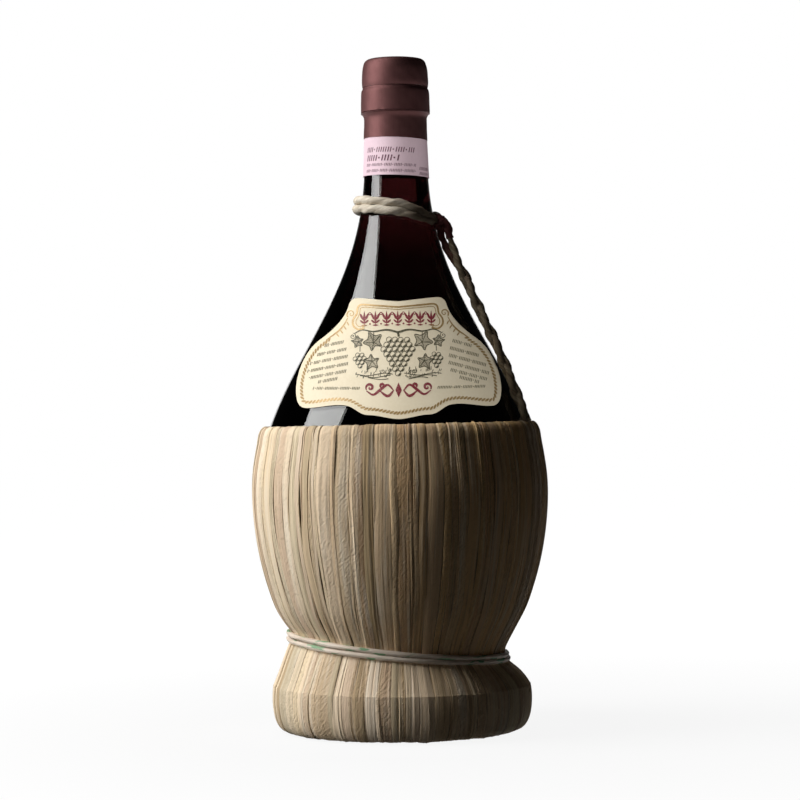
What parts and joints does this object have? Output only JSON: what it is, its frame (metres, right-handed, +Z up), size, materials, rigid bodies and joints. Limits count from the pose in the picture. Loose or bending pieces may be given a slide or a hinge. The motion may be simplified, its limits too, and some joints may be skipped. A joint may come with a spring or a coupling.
{
  "type": "straw-covered wine flask",
  "caption": "Round-bottomed wine flask in a straw cover with a straw base ring, a twisted rope handle, a cork and a neck capsule.",
  "frame": {"origin": "middle of the surface that the flask stands on, under the bottle's axis", "axes": "+Z up along the bottle's axis, -Y towards the label's side, +X towards the handle's side"},
  "size_m": [0.1368, 0.1367, 0.3082],
  "materials": {
    "glass": "clear dark brown glass, polished",
    "wine": "red wine, a liquid",
    "cork": "natural cork with pores",
    "capsule": "satin shrink plastic, wine brown",
    "seal_paper": "thin printed paper, pink",
    "label_paper": "uncoated cream paper with printed ornament",
    "twine": "twisted plant-fibre twine",
    "knot_twine": "darkened twine, wound tight",
    "straw": "dried marsh-grass strips, satin",
    "inner_straw": "bundled dried straw, matt",
    "waist_cord": "smooth rush cord with green flecks"
  },
  "bodies": {
    "bottle": {"glass_flask": "glass", "wine": "wine", "capsule_sleeve": "capsule", "neck_seal": "seal_paper", "front_label": "label_paper", "neck_cord": "twine", "handle_knot": "knot_twine", "handle_strands": "twine", "handle_rope": "twine", "rim_hoop": "inner_straw", "straw_underlay": "inner_straw", "straw_front": "straw", "straw_right": "straw", "straw_back": "straw", "straw_left": "straw", "waist_cord": "waist_cord", "waist_knot": "waist_cord", "base_ring": "inner_straw"},
    "stopper": {"cork": "cork"},
    "capsule_cap": {"capsule_top": "capsule"}
  },
  "joints": [
    {"name": "cork_draw", "type": "slide", "parent": "bottle", "child": "stopper", "axis": [0, 0, 1], "range_m": [0, 0.055]},
    {"name": "capsule_lift", "type": "slide", "parent": "stopper", "child": "capsule_cap", "axis": [0, 0, 1], "range_m": [0, 0.04]}
  ]
}
